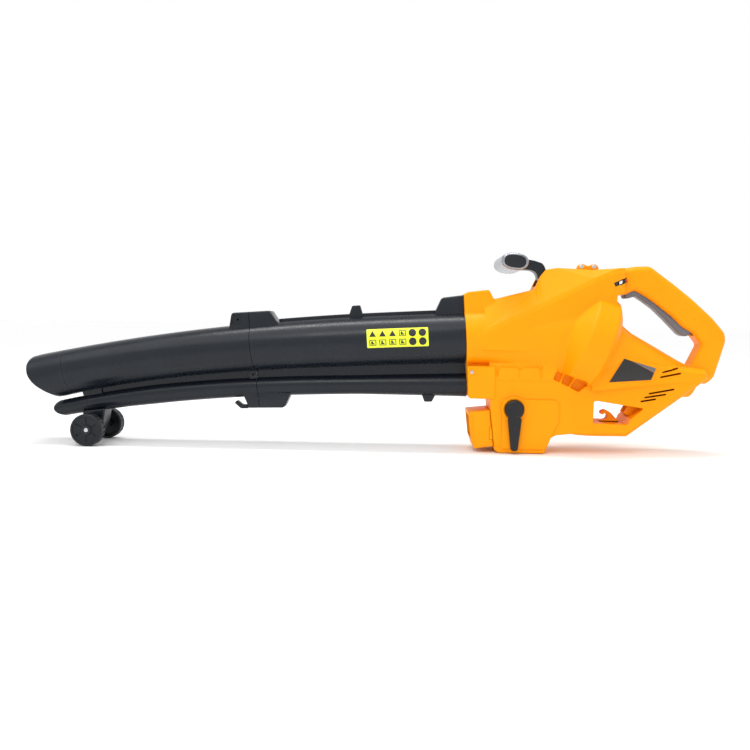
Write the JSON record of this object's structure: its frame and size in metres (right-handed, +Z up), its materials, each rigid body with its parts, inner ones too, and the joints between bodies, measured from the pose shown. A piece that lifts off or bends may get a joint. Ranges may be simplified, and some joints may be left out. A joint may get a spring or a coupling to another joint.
{
  "type": "leaf blower vacuum",
  "caption": "Electric hand-carried leaf blower, vacuum and shredder with a long twin tube on nozzle wheels, a fan and motor housing, trigger grip and folding front handle.",
  "frame": {"origin": "middle of the flat foot under the housing", "axes": "+X towards the rear handle, the tubes run to -X, +Y to the machine's right side, +Z up"},
  "size_m": [1.172, 0.1654, 0.3278],
  "materials": {
    "amber_plastic": "semi-gloss amber orange ABS, fine moulded texture",
    "black_plastic": "satin black polypropylene with a cool sheen",
    "grey_plastic": "dark grey moulded plastic",
    "silver_plastic": "silver painted plastic",
    "label_yellow": "yellow film label",
    "steel": "zinc plated steel",
    "laminated_iron": "laminated iron",
    "copper": "copper and iron, varnished",
    "tyre_rubber": "hard black moulded wheel",
    "nylon_white": "natural nylon",
    "board_green": "circuit board"
  },
  "bodies": {
    "machine": {"badge": "grey_plastic", "bag_hook": "black_plastic", "bag_port": "amber_plastic", "blow_nozzle_tip": "black_plastic", "brush_holder_left": "black_plastic", "brush_holder_right": "black_plastic", "cable_hook": "amber_plastic", "control_board": "board_green", "front_bearing": "steel", "front_tube_left": "black_plastic", "front_tube_right": "black_plastic", "handle_pivot_pin": "steel", "housing_left": "amber_plastic", "housing_right": "amber_plastic", "motor_plate": "black_plastic", "nozzle_tip": "black_plastic", "picture_label": "label_yellow", "power_inlet": "amber_plastic", "rear_bearing": "steel", "rear_bearing_holder": "black_plastic", "rear_tube_left": "black_plastic", "rear_tube_right": "black_plastic", "selector_cover": "amber_plastic", "speed_dial_spindle": "steel", "stator": "laminated_iron", "strap_bracket": "amber_plastic", "strap_rivet_front": "steel", "strap_rivet_rear": "steel", "switch_module": "black_plastic", "trigger_pin": "steel", "trigger_spring": "steel", "wheel_axle": "steel", "wheel_bracket": "black_plastic"},
    "fan": {"motor_shaft": "steel", "impeller": "grey_plastic", "impeller_nut": "steel", "rotor": "copper", "commutator": "copper"},
    "left_wheel": {"wheel_left": "tyre_rubber"},
    "right_wheel": {"wheel_right": "tyre_rubber"},
    "trigger_lever": {"trigger": "grey_plastic"},
    "selector": {"selector_lever": "black_plastic", "selector_shaft": "steel", "diverter_flap": "nylon_white"},
    "front_handle": {"handle_arm": "black_plastic", "handle_grip": "silver_plastic", "grip_inlay_left": "grey_plastic", "grip_inlay_right": "grey_plastic"},
    "dial": {"speed_dial": "grey_plastic"},
    "port_latch": {"bag_port_latch": "amber_plastic"}
  },
  "joints": [
    {"name": "fan_spin", "type": "hinge", "parent": "machine", "child": "fan", "pos_m": [0.1, 0, 0.185], "axis": [0.9304, 0, -0.3665], "continuous": true},
    {"name": "left_wheel_spin", "type": "hinge", "parent": "machine", "child": "left_wheel", "pos_m": [-0.731, 0, 0.027], "axis": [0, 1, 0], "continuous": true},
    {"name": "right_wheel_spin", "type": "hinge", "parent": "machine", "child": "right_wheel", "pos_m": [-0.731, 0, 0.027], "axis": [0, 1, 0], "continuous": true},
    {"name": "trigger_pull", "type": "hinge", "parent": "machine", "child": "trigger_lever", "pos_m": [0.168, 0, 0.276], "axis": [0, -1, 0], "range_deg": [0, 5], "stiffness_Nm_per_rad": 0.5, "springref_deg": -17.19, "deforming": ["trigger_spring"]},
    {"name": "selector_turn", "type": "hinge", "parent": "machine", "child": "selector", "pos_m": [-0.0187, 0, 0.0736], "axis": [0, -1, 0], "range_deg": [0, 90]},
    {"name": "front_handle_tilt", "type": "hinge", "parent": "machine", "child": "front_handle", "pos_m": [0.025, 0, 0.291], "axis": [0, 1, 0], "range_deg": [-15, 45]},
    {"name": "dial_turn", "type": "hinge", "parent": "machine", "child": "dial", "pos_m": [0.149, -0.02, 0.283], "axis": [-0.3584, 0, 0.9336], "range_deg": [-135, 135]},
    {"name": "latch_press", "type": "slide", "parent": "machine", "child": "port_latch", "axis": [0, 1, 0], "range_m": [0, 0.003], "stiffness_N_per_m": 300, "springref_m": -0.002}
  ]
}
